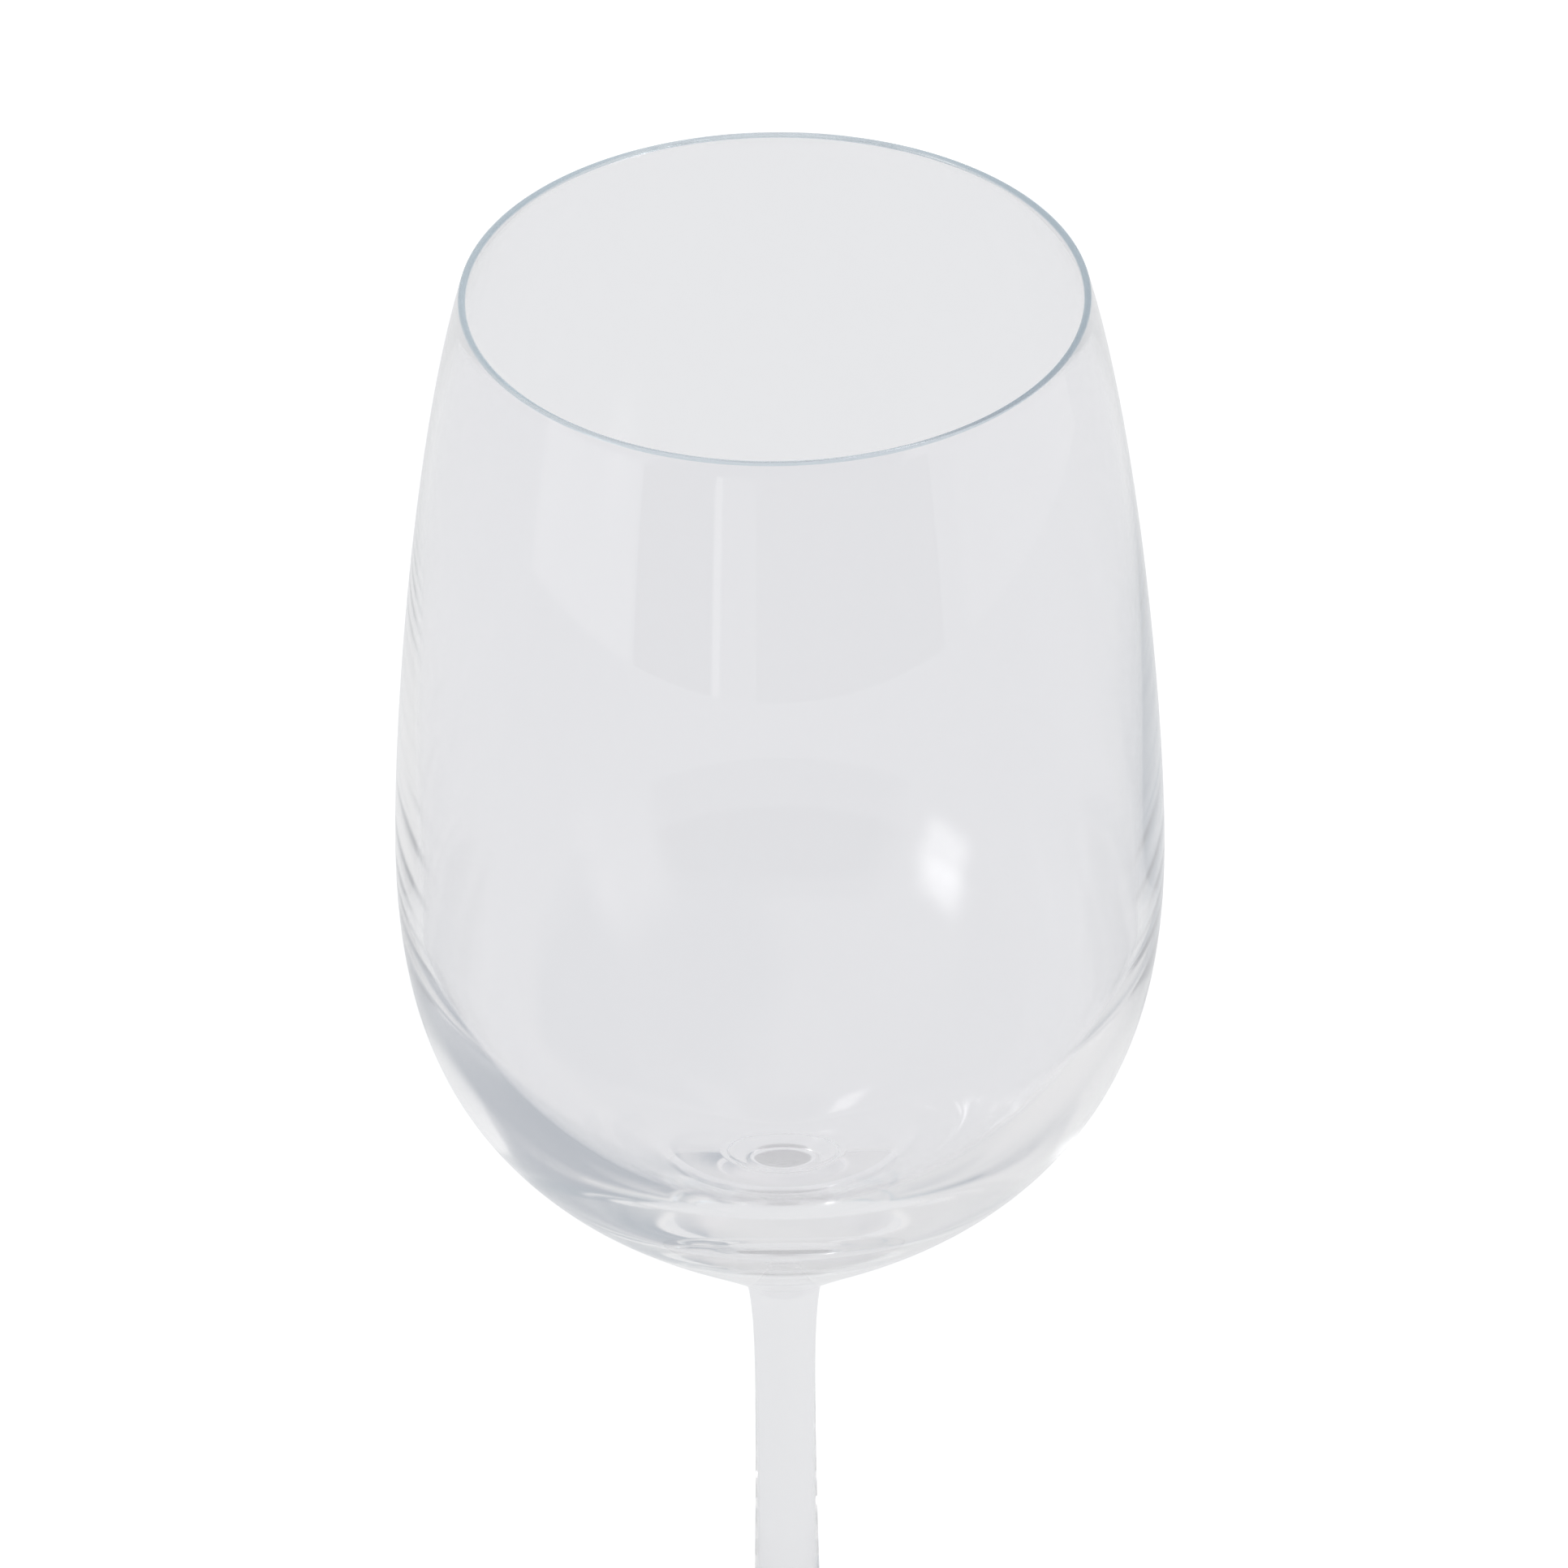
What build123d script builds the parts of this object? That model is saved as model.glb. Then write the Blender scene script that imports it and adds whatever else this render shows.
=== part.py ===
from build123d import *
import os
from math import cos, radians, sin

# A stemmed wine glass of clear glass, made of three gathers that are welded end to end
# while hot: a blown bowl, a drawn stem and a pressed foot.
#
# Millimetres, +Z up. The origin is the centre of the foot's underside, on the surface
# that the glass stands on, and Z is the axis of the glass. Each piece is one outline in
# the XZ plane, turned about Z. Neighbours share the radius and the slope at their weld,
# so the outside runs smoothly from rim to foot.

# ---- Overall heights ----
total_height = 217.0
bowl_height = 127.5  # from the rim down to the weld between bowl and stem
foot_height = 14.0  # from the table up to the weld between stem and foot

# ---- Bowl ----
rim_radius = 33.0
bowl_radius = 42.2  # outside, at the widest part
widest_drop = 72.4  # from the rim down to the widest part
rim_wall = 0.8
side_wall = 2.0  # at the widest part
base_wall = 9.0  # on the axis, from the inner floor down to the weld
rim_lean_outside = 16.5  # degrees that the wall leans in at the rim
rim_lean_inside = 14.5

# How far each end of a curve keeps its starting direction; longer is straighter.
rim_pull = 20.0
shoulder_pull_outside = 14.5
shoulder_pull_inside = 26.0
belly_pull_outside = 29.4
belly_pull_inside = 31.0
underside_pull = 30.0
floor_pull = 11.0

# ---- Stem ----
bowl_weld_radius = 8.7
bowl_weld_slope = 43.0  # degrees from level, where the bowl runs down into the stem
waist_radius = 3.5
waist_drop = 21.7  # from the bowl's weld down to the thinnest part of the stem
neck_pull = 5.1
neck_waist_pull = 22.0
lower_waist_pull = 14.0
ankle_pull = 3.0

# ---- Foot ----
foot_weld_radius = 5.4
foot_weld_slope = 62.0  # degrees from level, where the stem runs out into the foot
foot_radius = 38.0
foot_edge = 2.4  # thickness at the edge
instep_pull = 8.0
brim_pull = 24.0
brim_slope = 3.0  # degrees from level, at the edge
rest_ring_width = 3.0  # the flat ring that touches the table, inside the rounded edge
arch_height = 3.0  # hollow under the middle of the foot

bowl_weld_height = total_height - bowl_height
widest_height = total_height - widest_drop
waist_height = bowl_weld_height - waist_drop


def step(point, angle, distance):
    """The point a distance away, at an angle in degrees from level and outwards."""
    return (
        point[0] + distance * cos(radians(angle)),
        point[1] + distance * sin(radians(angle)),
    )


# ---- Bowl: thick at the floor, thin at the fire-polished rim ----
rim_outside = (rim_radius, total_height)
rim_inside = (rim_radius - rim_wall, total_height)
widest_outside = (bowl_radius, widest_height)
widest_inside = (bowl_radius - side_wall, widest_height)
bowl_weld_edge = (bowl_weld_radius, bowl_weld_height)
inner_floor = (0, bowl_weld_height + base_wall)

with BuildPart() as bowl:
    with BuildSketch(Plane.XZ):
        with BuildLine():
            Bezier(
                rim_outside,
                step(rim_outside, rim_lean_outside - 90, rim_pull),
                (bowl_radius, widest_height + shoulder_pull_outside),
                widest_outside,
            )
            Bezier(
                widest_outside,
                (bowl_radius, widest_height - belly_pull_outside),
                step(bowl_weld_edge, bowl_weld_slope, underside_pull),
                bowl_weld_edge,
            )
            Polyline(bowl_weld_edge, (0, bowl_weld_height), inner_floor)
            Bezier(
                inner_floor,
                (floor_pull, inner_floor[1]),
                (widest_inside[0], widest_height - belly_pull_inside),
                widest_inside,
            )
            Bezier(
                widest_inside,
                (widest_inside[0], widest_height + shoulder_pull_inside),
                step(rim_inside, rim_lean_inside - 90, rim_pull),
                rim_inside,
            )
            Line(rim_inside, rim_outside)
        make_face()
    revolve(axis=Axis.Z)
    fillet(bowl.edges().group_by(Axis.Z)[-1], radius=rim_wall * 0.45)
bowl.part.label = "bowl"

# ---- Stem: flares into the bowl, waists, and widens slowly down to the foot ----
waist = (waist_radius, waist_height)
foot_weld_edge = (foot_weld_radius, foot_height)

with BuildPart() as stem:
    with BuildSketch(Plane.XZ):
        with BuildLine():
            Bezier(
                bowl_weld_edge,
                step(bowl_weld_edge, bowl_weld_slope, -neck_pull),
                (waist_radius, waist_height + neck_waist_pull),
                waist,
            )
            Bezier(
                waist,
                (waist_radius, waist_height - lower_waist_pull),
                step(foot_weld_edge, -foot_weld_slope, -ankle_pull),
                foot_weld_edge,
            )
            Polyline(
                foot_weld_edge,
                (0, foot_height),
                (0, bowl_weld_height),
                bowl_weld_edge,
            )
        make_face()
    revolve(axis=Axis.Z)
stem.part.label = "stem"

# ---- Foot: a disc with a raised instep, hollow underneath, standing on a ring ----
brim_radius = foot_radius - foot_edge / 2  # where the edge starts to round over
brim = (brim_radius, foot_edge)
ring_outside = (brim_radius, 0)
ring_inside = (brim_radius - rest_ring_width, 0)
arch_top = (0, arch_height)

with BuildPart() as foot:
    with BuildSketch(Plane.XZ):
        with BuildLine():
            Bezier(
                foot_weld_edge,
                step(foot_weld_edge, -foot_weld_slope, instep_pull),
                step(brim, -brim_slope, -brim_pull),
                brim,
            )
            ThreePointArc(brim, (foot_radius, foot_edge / 2), ring_outside)
            Line(ring_outside, ring_inside)
            TangentArc(arch_top, ring_inside, tangent=(1, 0))
            Polyline(arch_top, (0, foot_height), foot_weld_edge)
        make_face()
    revolve(axis=Axis.Z)
foot.part.label = "foot"

os.makedirs("parts", exist_ok=True)
for piece in (bowl, stem, foot):
    export_step(piece.part, f"parts/{piece.part.label}.step")
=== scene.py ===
"""A clear stemmed wine glass: blown bowl, drawn stem, pressed foot, on a pale studio floor.

Metres, +Z up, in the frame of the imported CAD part. The visible glass is three lathe-turned
meshes, finer than the CAD nodes that they stand for, because clear glass shows every facet.
"""

from math import cos, pi, radians, sin

import bmesh
import bpy
from mathutils import Matrix, Vector


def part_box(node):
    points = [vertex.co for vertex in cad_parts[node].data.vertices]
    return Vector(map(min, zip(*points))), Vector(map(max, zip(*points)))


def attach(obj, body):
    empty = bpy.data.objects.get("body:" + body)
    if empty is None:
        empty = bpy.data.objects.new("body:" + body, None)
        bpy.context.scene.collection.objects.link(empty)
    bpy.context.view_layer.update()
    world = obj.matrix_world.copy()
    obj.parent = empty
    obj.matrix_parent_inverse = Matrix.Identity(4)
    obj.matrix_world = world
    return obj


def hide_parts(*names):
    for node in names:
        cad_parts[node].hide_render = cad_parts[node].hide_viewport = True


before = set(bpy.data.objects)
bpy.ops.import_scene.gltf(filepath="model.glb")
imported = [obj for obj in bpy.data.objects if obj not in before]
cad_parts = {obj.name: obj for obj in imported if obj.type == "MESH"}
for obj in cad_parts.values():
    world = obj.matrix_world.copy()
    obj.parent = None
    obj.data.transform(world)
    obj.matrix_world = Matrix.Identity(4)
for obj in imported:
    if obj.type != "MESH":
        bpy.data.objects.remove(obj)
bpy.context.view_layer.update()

MM = 0.001

# ---- Sizes read from the frame ----
bowl_low, bowl_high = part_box("bowl")
_, stem_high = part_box("stem")
_, foot_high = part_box("foot")
RIM_Z = bowl_high.z
BOWL_WELD_Z = bowl_low.z
FOOT_WELD_Z = foot_high.z
BOWL_R = bowl_high.x
BOWL_WELD_R = stem_high.x
FOOT_R = foot_high.x

# ---- Sizes that the boxes don't give, as the CAD part has them ----
RIM_R = 33.0 * MM
WIDEST_Z = RIM_Z - 72.4 * MM
RIM_WALL = 0.8 * MM
SIDE_WALL = 2.0 * MM
BASE_WALL = 9.0 * MM
FOOT_WELD_R = 5.4 * MM
WAIST_R = 3.5 * MM
WAIST_Z = BOWL_WELD_Z - 21.7 * MM
FOOT_EDGE = 2.4 * MM
REST_RING = 3.0 * MM
ARCH = 3.0 * MM
RIM_LEAN_OUTSIDE = 16.5
RIM_LEAN_INSIDE = 14.5
BOWL_WELD_SLOPE = 43.0
FOOT_WELD_SLOPE = 62.0
BRIM_SLOPE = 3.0

# ---- How far each curve is pulled past its ends, as the CAD part has them ----
RIM_PULL = 20.0 * MM
SHOULDER_PULL_OUTSIDE = 14.5 * MM
SHOULDER_PULL_INSIDE = 26.0 * MM
BELLY_PULL_OUTSIDE = 29.4 * MM
BELLY_PULL_INSIDE = 31.0 * MM
UNDERSIDE_PULL = 30.0 * MM
FLOOR_PULL = 11.0 * MM
NECK_PULL = 5.1 * MM
NECK_WAIST_PULL = 22.0 * MM
LOWER_WAIST_PULL = 14.0 * MM
ANKLE_PULL = 3.0 * MM
INSTEP_PULL = 8.0 * MM
BRIM_PULL = 24.0 * MM

# ---- How finely the meshes are cut ----
TURNS = 400  # facets round each lathe-turned piece
BELLY_STEPS = 66
SHOULDER_STEPS = 40
LIP_STEPS = 12
LOWER_STEM_STEPS = 90
UPPER_STEM_STEPS = 60
ARCH_STEPS = 60
FOOT_EDGE_STEPS = 16
FOOT_TOP_STEPS = 90


# ---- Outlines: (radius, height) points, from the axis outwards and round ----
def step(point, angle, distance):
    """The point a distance away, at an angle in degrees from level and outwards."""
    return (
        point[0] + distance * cos(radians(angle)),
        point[1] + distance * sin(radians(angle)),
    )


def curve(a, b, c, d, count):
    """Points on a cubic Bezier curve, with its first point and without its last."""
    points = []
    for i in range(count):
        t = i / count
        u = 1 - t
        weights = (u * u * u, 3 * u * u * t, 3 * u * t * t, t * t * t)
        points.append(
            tuple(sum(w * p[k] for w, p in zip(weights, (a, b, c, d))) for k in (0, 1))
        )
    return points


def arc(centre, radius, start, end, count):
    """Points on an arc between two angles in degrees, with both ends."""
    return [
        step(centre, start + (end - start) * i / count, radius) for i in range(count + 1)
    ]


def bowl_outline():
    """From the weld's centre out, up the outside, over the rim and down to the floor."""
    weld_edge = (BOWL_WELD_R, BOWL_WELD_Z)
    lip = (RIM_R - RIM_WALL / 2, RIM_Z - RIM_WALL / 2)
    rim_outside = step(lip, RIM_LEAN_OUTSIDE, RIM_WALL / 2)
    rim_inside = step(lip, 180 + RIM_LEAN_INSIDE, RIM_WALL / 2)
    widest_outside = (BOWL_R, WIDEST_Z)
    widest_inside = (BOWL_R - SIDE_WALL, WIDEST_Z)
    inner_floor = (0, BOWL_WELD_Z + BASE_WALL)
    outside = curve(
        weld_edge,
        step(weld_edge, BOWL_WELD_SLOPE, UNDERSIDE_PULL),
        (BOWL_R, WIDEST_Z - BELLY_PULL_OUTSIDE),
        widest_outside,
        BELLY_STEPS,
    ) + curve(
        widest_outside,
        (BOWL_R, WIDEST_Z + SHOULDER_PULL_OUTSIDE),
        step(rim_outside, RIM_LEAN_OUTSIDE - 90, RIM_PULL),
        rim_outside,
        SHOULDER_STEPS,
    )
    rim = arc(lip, RIM_WALL / 2, RIM_LEAN_OUTSIDE, 180 + RIM_LEAN_INSIDE, LIP_STEPS)
    inside = curve(
        rim_inside,
        step(rim_inside, RIM_LEAN_INSIDE - 90, RIM_PULL),
        (BOWL_R - SIDE_WALL, WIDEST_Z + SHOULDER_PULL_INSIDE),
        widest_inside,
        SHOULDER_STEPS,
    )[1:] + curve(
        widest_inside,
        (BOWL_R - SIDE_WALL, WIDEST_Z - BELLY_PULL_INSIDE),
        (FLOOR_PULL, inner_floor[1]),
        inner_floor,
        BELLY_STEPS,
    )
    return [(0, BOWL_WELD_Z)] + outside + rim + inside + [inner_floor]


def stem_outline():
    """From the foot's weld up to the bowl's weld."""
    foot_weld_edge = (FOOT_WELD_R, FOOT_WELD_Z)
    bowl_weld_edge = (BOWL_WELD_R, BOWL_WELD_Z)
    waist = (WAIST_R, WAIST_Z)
    side = curve(
        foot_weld_edge,
        step(foot_weld_edge, -FOOT_WELD_SLOPE, -ANKLE_PULL),
        (WAIST_R, WAIST_Z - LOWER_WAIST_PULL),
        waist,
        LOWER_STEM_STEPS,
    ) + curve(
        waist,
        (WAIST_R, WAIST_Z + NECK_WAIST_PULL),
        step(bowl_weld_edge, BOWL_WELD_SLOPE, -NECK_PULL),
        bowl_weld_edge,
        UPPER_STEM_STEPS,
    )
    return [(0, FOOT_WELD_Z)] + side + [bowl_weld_edge, (0, BOWL_WELD_Z)]


def foot_outline():
    """From the arch's top out to the rest ring, round the edge and up to the weld."""
    brim_r = FOOT_R - FOOT_EDGE / 2
    ring_inside = (brim_r - REST_RING, 0)
    weld_edge = (FOOT_WELD_R, FOOT_WELD_Z)
    arch_r = (ring_inside[0] ** 2 + ARCH**2) / (2 * ARCH)
    arch = []
    for i in range(ARCH_STEPS):
        radius = ring_inside[0] * i / ARCH_STEPS
        arch.append((radius, ARCH - arch_r + (arch_r**2 - radius**2) ** 0.5))
    edge = arc((brim_r, FOOT_EDGE / 2), FOOT_EDGE / 2, -90, 90, FOOT_EDGE_STEPS)
    brim = edge[-1]
    top = curve(
        brim,
        step(brim, -BRIM_SLOPE, -BRIM_PULL),
        step(weld_edge, -FOOT_WELD_SLOPE, INSTEP_PULL),
        weld_edge,
        FOOT_TOP_STEPS,
    )[1:]
    return arch + [ring_inside] + edge + top + [weld_edge, (0, FOOT_WELD_Z)]


# ---- Meshes ----
SAME_HEIGHT = 1e-7
LIP_SHARE = 0.6  # how far down the lip the rim's material goes, in rim wall thicknesses
WELD_INDEX = 1  # place in each piece's list of materials; the glass is first
RIM_INDEX = 2


def turn(name, outline, welds, materials):
    """A closed mesh of revolution, in the glass, weld and rim materials; the rim's colour is
    painted shade.

    Faces that lie in a weld's plane get the weld's material, and those of the lip get the rim's.
    """
    mesh = bmesh.new()
    rings = []
    for radius, height in outline:
        ring = []
        for i in range(TURNS if radius else 1):
            angle = 2 * pi * i / TURNS
            ring.append(mesh.verts.new((radius * cos(angle), radius * sin(angle), height)))
        rings.append(ring)
    for inner, outer in zip(rings, rings[1:]):
        for i in range(TURNS):
            j = (i + 1) % TURNS
            around = (
                inner[i % len(inner)],
                outer[i % len(outer)],
                outer[j % len(outer)],
                inner[j % len(inner)],
            )
            corners = list(dict.fromkeys(around))
            face = mesh.faces.new(corners)
            face.smooth = True
            for weld_z in welds:
                if all(abs(v.co.z - weld_z) < SAME_HEIGHT for v in corners):
                    face.material_index = WELD_INDEX
                    face.smooth = False
            # The lip's faces take the rim material, whose colour is painted shade.
            if min(v.co.z for v in corners) > RIM_Z - LIP_SHARE * RIM_WALL:
                face.material_index = RIM_INDEX
    bmesh.ops.recalc_face_normals(mesh, faces=mesh.faces)
    data = bpy.data.meshes.new(name)
    mesh.to_mesh(data)
    mesh.free()
    piece = bpy.data.objects.new(name, data)
    bpy.context.scene.collection.objects.link(piece)
    for material in materials:
        data.materials.append(material)
    return piece


# ---- Materials ----
CLEAR_COLOUR = (0.969, 0.966, 0.975)
# Painted shade on the lip: a darker blue-grey than the clear glass. It stands in for the dark line
# that the rim shows, which is in part the colour of the whole wall seen end on and in part shade
# from what the rim refracts.
RIM_PAINTED_SHADE_COLOUR = (0.58, 0.68, 0.75)
GLASS_ROUGHNESS = 0.02
GLASS_IOR = 1.5


def glass_material(name, colour):
    """Soda-lime glass."""
    material = bpy.data.materials.new(name)
    material.use_nodes = True
    shader = material.node_tree.nodes["Principled BSDF"]
    shader.inputs["Base Color"].default_value = (*colour, 1)
    shader.inputs["Roughness"].default_value = GLASS_ROUGHNESS
    shader.inputs["IOR"].default_value = GLASS_IOR
    shader.inputs["Transmission Weight"].default_value = 1.0
    return material


def weld_material():
    """The plane where two gathers fused: nothing is left to see there."""
    material = bpy.data.materials.new("fused_weld")
    material.use_nodes = True
    nodes = material.node_tree.nodes
    nodes.clear()
    out = nodes.new("ShaderNodeOutputMaterial")
    clear = nodes.new("ShaderNodeBsdfTransparent")
    material.node_tree.links.new(clear.outputs[0], out.inputs["Surface"])
    return material


FLOOR_COLOUR = (0.80, 0.80, 0.80)
FLOOR_GLOW = 0.25
FLOOR_WHITE = 0.27  # added to the glow where the camera sees the floor directly


def floor_material():
    """White acrylic over a light table, plain white to the camera and darker through the glass."""
    material = bpy.data.materials.new("lit_floor")
    material.use_nodes = True
    shader = material.node_tree.nodes["Principled BSDF"]
    shader.inputs["Base Color"].default_value = (*FLOOR_COLOUR, 1)
    shader.inputs["Roughness"].default_value = 1.0
    shader.inputs["Specular IOR Level"].default_value = 0.0
    shader.inputs["Emission Color"].default_value = (1.0, 1.0, 1.0, 1)
    tree = material.node_tree
    camera_ray = tree.nodes.new("ShaderNodeLightPath").outputs["Is Camera Ray"]
    glow = math_node(tree, "MULTIPLY_ADD", camera_ray, FLOOR_WHITE, FLOOR_GLOW)
    tree.links.new(glow, shader.inputs["Emission Strength"])
    return material


# ---- Camera ----
CAMERA_DISTANCE = 0.750
CAMERA_ELEVATION = 31.55
CAMERA_PITCH = 35.47
CAMERA_ROLL = -0.53
AXIS_OFFSET = 0.0005
LENS = 165.1
SENSOR = 36.0


def make_camera():
    """A long lens in front of the glass and well above it, aimed down at the bowl."""
    data = bpy.data.cameras.new("camera")
    data.lens = LENS
    data.sensor_width = SENSOR
    camera = bpy.data.objects.new("camera", data)
    bpy.context.scene.collection.objects.link(camera)
    elevation = radians(CAMERA_ELEVATION)
    back = CAMERA_DISTANCE * cos(elevation)
    above_rim = CAMERA_DISTANCE * sin(elevation)
    place = Matrix.Translation((AXIS_OFFSET, -back, RIM_Z + above_rim))
    look = Matrix.Rotation(pi / 2 - radians(CAMERA_PITCH), 4, "X")
    roll = Matrix.Rotation(radians(CAMERA_ROLL), 4, "Z")
    camera.matrix_world = place @ look @ roll
    bpy.context.scene.camera = camera


# ---- Stage ----
FLOOR_RADIUS = 4.0
FLOOR_SEGMENTS = 128


def make_floor():
    """A plain round floor under the glass."""
    mesh = bmesh.new()
    bmesh.ops.create_circle(mesh, cap_ends=True, radius=FLOOR_RADIUS, segments=FLOOR_SEGMENTS)
    data = bpy.data.meshes.new("floor")
    mesh.to_mesh(data)
    mesh.free()
    floor = bpy.data.objects.new("floor", data)
    bpy.context.scene.collection.objects.link(floor)
    data.materials.append(floor_material())


# Low cards that stand round the table and show only as reflections: the azimuths of
# their two edges, from +Y towards +X, height in metres and brightness.
CARD_DISTANCE = 0.62
CARD_STEPS = 24
CARDS = (
    ("left", -136, -100, 0.20, 1.35),
    ("dark_left", -160.5, -137, 0.20, 0.30),
    ("strip", -163, -161, 0.20, 1.70),
    ("behind", -173, -163.5, 0.20, 0.75),
    ("dark_behind", -230, -173.5, 0.20, 0.42),
    ("right", 66, 122, 0.20, 1.05),
)


def make_card(name, start, end, height, brightness):
    """An upright strip round part of the table."""
    mesh = bmesh.new()
    columns = []
    for i in range(CARD_STEPS + 1):
        azimuth = radians(start + (end - start) * i / CARD_STEPS)
        x = CARD_DISTANCE * sin(azimuth)
        y = CARD_DISTANCE * cos(azimuth)
        columns.append((mesh.verts.new((x, y, 0)), mesh.verts.new((x, y, height))))
    for left, right in zip(columns, columns[1:]):
        mesh.faces.new((left[0], right[0], right[1], left[1]))
    data = bpy.data.meshes.new("card_" + name)
    mesh.to_mesh(data)
    mesh.free()
    card = bpy.data.objects.new("card_" + name, data)
    bpy.context.scene.collection.objects.link(card)
    material = bpy.data.materials.new("card_" + name)
    material.use_nodes = True
    shader = material.node_tree.nodes["Principled BSDF"]
    shader.inputs["Base Color"].default_value = (0, 0, 0, 1)
    shader.inputs["Specular IOR Level"].default_value = 0.0
    shader.inputs["Emission Color"].default_value = (1.0, 1.0, 1.0, 1)
    shader.inputs["Emission Strength"].default_value = brightness
    data.materials.append(material)
    card.visible_camera = False
    card.visible_diffuse = False
    card.visible_transmission = False
    card.visible_shadow = False


# Soft panels round the studio: azimuth from +Y towards +X and elevation of the middle,
# half width and half height as slopes, softness of the edge, colour, strength.
PANELS = (
    ("overhead", 0, 82, 0.60, 0.60, 0.50, (1.0, 1.0, 1.0), 0.85),
    ("behind", 180, 10, 0.93, 0.50, 0.05, (0.34, 0.35, 0.37), 1.0),
    ("window", -120, 20, 0.36, 0.62, 0.30, (1.0, 1.0, 1.0), 0.84),
    ("key", -119, 14, 0.15, 0.14, 0.16, (1.0, 1.0, 1.0), 4.6),
    ("far_window", 122, 12, 0.25, 0.40, 0.20, (1.0, 1.0, 1.0), 1.0),
    ("shade", 128, 52, 0.60, 0.35, 0.40, (0.46, 0.49, 0.53), 1.0),
)
LEFT_COLOUR = (0.76, 0.765, 0.77)
RIGHT_COLOUR = (0.45, 0.49, 0.53)
SIDE_FADE = (0.45, 0.90)  # sideways part of a unit direction where the right side starts
HORIZON_COLOUR = (0.86, 0.86, 0.86)
HORIZON_FADE = (0.02, 0.12)  # height of a unit direction where the pale band fades out


def math_node(tree, operation, *values):
    """A maths node's output; the values are sockets or plain numbers."""
    node = tree.nodes.new("ShaderNodeMath")
    node.operation = operation
    for socket, value in zip(node.inputs, values):
        if isinstance(value, (int, float)):
            socket.default_value = value
        else:
            tree.links.new(value, socket)
    return node.outputs[0]


def dot_node(tree, vector, direction):
    """How far a vector socket points along a fixed direction."""
    node = tree.nodes.new("ShaderNodeVectorMath")
    node.operation = "DOT_PRODUCT"
    node.inputs[1].default_value = direction
    tree.links.new(vector, node.inputs[0])
    return node.outputs["Value"]


def fade_node(tree, value, low, high):
    """0 below low, 1 above high, smooth between; falls instead of rises if low > high."""
    node = tree.nodes.new("ShaderNodeMapRange")
    node.interpolation_type = "SMOOTHSTEP"
    rising = low < high
    node.inputs["From Min"].default_value = min(low, high)
    node.inputs["From Max"].default_value = max(low, high)
    node.inputs["To Min"].default_value = 0.0 if rising else 1.0
    node.inputs["To Max"].default_value = 1.0 if rising else 0.0
    tree.links.new(value, node.inputs["Value"])
    return node.outputs["Result"]


def mix_node(tree, first, second, amount):
    """A colour blend; the two colours are sockets or plain values."""
    node = tree.nodes.new("ShaderNodeMix")
    node.data_type = "RGBA"
    node.clamp_factor = True
    for name, colour in (("A", first), ("B", second)):
        if isinstance(colour, tuple):
            node.inputs[name].default_value = (*colour, 1)
        else:
            tree.links.new(colour, node.inputs[name])
    tree.links.new(amount, node.inputs["Factor"])
    return node.outputs["Result"]


SMALLEST_DEPTH = 0.001  # stops a panel from showing again behind the viewer


def panel_amount(tree, direction, azimuth, elevation, half_width, half_height, edge):
    """1 inside a soft-edged panel in the sky, 0 outside it."""
    a = radians(azimuth)
    e = radians(elevation)
    forward = Vector((sin(a) * cos(e), cos(a) * cos(e), sin(e)))
    right = Vector((cos(a), -sin(a), 0))
    up = right.cross(forward)
    depth = math_node(tree, "MAXIMUM", dot_node(tree, direction, forward), SMALLEST_DEPTH)
    amount = None
    for axis, half in ((right, half_width), (up, half_height)):
        slope = math_node(tree, "DIVIDE", dot_node(tree, direction, axis), depth)
        size = math_node(tree, "ABSOLUTE", slope)
        inside = fade_node(tree, size, half + edge / 2, half - edge / 2)
        amount = inside if amount is None else math_node(tree, "MULTIPLY", amount, inside)
    return amount


def make_world():
    """A pale studio: a lighter left side, a pale horizon and the panels."""
    world = bpy.data.worlds.new("studio")
    bpy.context.scene.world = world
    world.use_nodes = True
    tree = world.node_tree
    background = tree.nodes["Background"]
    direction = tree.nodes.new("ShaderNodeTexCoord").outputs["Generated"]
    sideways = fade_node(tree, dot_node(tree, direction, (1, 0, 0)), *SIDE_FADE)
    height = fade_node(tree, dot_node(tree, direction, (0, 0, 1)), *HORIZON_FADE)
    total = mix_node(tree, LEFT_COLOUR, RIGHT_COLOUR, sideways)
    total = mix_node(tree, HORIZON_COLOUR, total, height)
    for _, azimuth, elevation, half_width, half_height, edge, colour, strength in PANELS:
        amount = panel_amount(tree, direction, azimuth, elevation, half_width, half_height, edge)
        total = mix_node(tree, total, tuple(c * strength for c in colour), amount)
    tree.links.new(total, background.inputs["Color"])


# ---- The scene ----
BOUNCES = 256  # light goes round many times inside the thick base

make_camera()
make_floor()
for card in CARDS:
    make_card(*card)
make_world()
bpy.context.scene.view_settings.view_transform = "Standard"
bpy.context.scene.cycles.max_bounces = BOUNCES
bpy.context.scene.cycles.glossy_bounces = BOUNCES
bpy.context.scene.cycles.transmission_bounces = BOUNCES

glass = glass_material("clear_glass", CLEAR_COLOUR)
weld = weld_material()
# The rim material is the glass with painted shade in its colour.
rim = glass_material("rim_painted_shade_glass", RIM_PAINTED_SHADE_COLOUR)
for name, outline, welds in (
    ("bowl", bowl_outline(), (BOWL_WELD_Z,)),
    ("stem", stem_outline(), (BOWL_WELD_Z, FOOT_WELD_Z)),
    ("foot", foot_outline(), (FOOT_WELD_Z,)),
):
    piece = turn("glass_" + name, outline, welds, (glass, weld, rim))
    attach(piece, "root")
    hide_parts(name)
